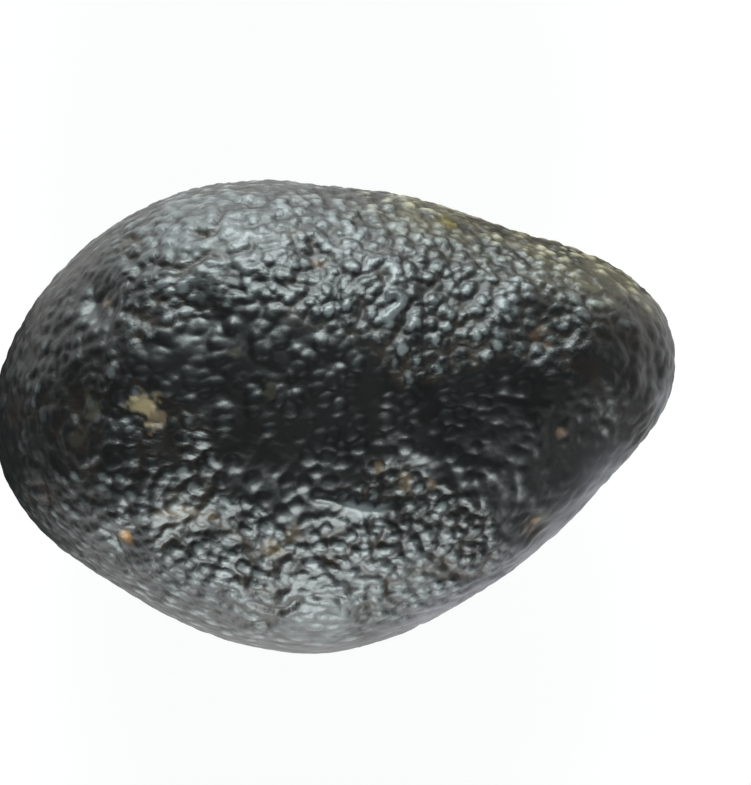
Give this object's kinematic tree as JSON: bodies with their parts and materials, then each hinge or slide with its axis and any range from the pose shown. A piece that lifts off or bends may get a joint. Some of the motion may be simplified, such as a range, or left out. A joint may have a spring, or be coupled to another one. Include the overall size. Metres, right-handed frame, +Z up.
{
  "type": "raw tektite pebble",
  "caption": "Raw tektite: a drop-shaped pebble of black natural glass with a lumpy, pitted, etched skin, flat where it lies; a specimen, game piece or scatter stone.",
  "frame": {"origin": "under the middle of the stone's outline, on the worn flat that it lies on", "axes": "+X towards the narrow tip, +Y across the stone, +Z up from the flat it lies on to the crown"},
  "size_m": [0.0258, 0.018, 0.0132],
  "materials": {
    "black_glass": "satin"
  },
  "bodies": {
    "root": {"tektite": "black_glass"}
  },
  "joints": []
}
